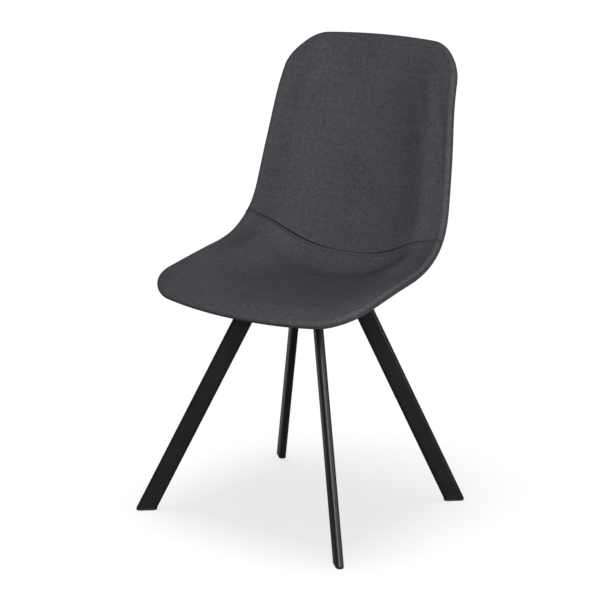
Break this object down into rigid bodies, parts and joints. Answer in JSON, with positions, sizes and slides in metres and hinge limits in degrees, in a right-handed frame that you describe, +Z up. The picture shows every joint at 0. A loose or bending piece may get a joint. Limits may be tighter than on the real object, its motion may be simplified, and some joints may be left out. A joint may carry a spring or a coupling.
{
  "type": "dining chair",
  "caption": "Dining chair with an upholstered bucket shell, its seat and back meeting at a curved seam, on straight splayed black flat-oval tube legs.",
  "frame": {"origin": "on the floor, under the middle of the chair's overall box", "axes": "+Z up, the front of the seat faces -Y, +X is the sitter's left"},
  "size_m": [0.4908, 0.4774, 0.8875],
  "materials": {
    "cover_fabric": "charcoal woven upholstery fabric with a fine mottled weave",
    "outer_fabric": "the same charcoal fabric on the back and the underside",
    "foam": "open-cell upholstery foam",
    "plywood": "moulded plywood, unfinished",
    "black_steel": "satin black powder coat",
    "black_plastic": "matt black moulded plastic",
    "zinc_steel": "zinc-plated steel"
  },
  "bodies": {
    "root": {"back_cover": "cover_fabric", "back_foam": "foam", "bolt_front_left": "zinc_steel", "bolt_front_right": "zinc_steel", "bolt_rear_left": "zinc_steel", "bolt_rear_right": "zinc_steel", "cross_tube": "black_steel", "front_mounting_bar": "black_steel", "glide_back_left": "black_plastic", "glide_back_right": "black_plastic", "glide_front_left": "black_plastic", "glide_front_right": "black_plastic", "half_tube_back_left": "black_steel", "half_tube_front_right": "black_steel", "leg_back_left": "black_steel", "leg_back_right": "black_steel", "leg_front_left": "black_steel", "leg_front_right": "black_steel", "outer_cover": "outer_fabric", "rear_foam": "foam", "rear_mounting_bar": "black_steel", "seat_cover": "cover_fabric", "seat_foam": "foam", "shell_plywood": "plywood", "spacer_front_left": "black_plastic", "spacer_front_right": "black_plastic", "spacer_rear_left": "black_plastic", "spacer_rear_right": "black_plastic", "tee_nut_front_left": "zinc_steel", "tee_nut_front_right": "zinc_steel", "tee_nut_rear_left": "zinc_steel", "tee_nut_rear_right": "zinc_steel", "washer_front_left": "zinc_steel", "washer_front_right": "zinc_steel", "washer_rear_left": "zinc_steel", "washer_rear_right": "zinc_steel"}
  },
  "joints": []
}
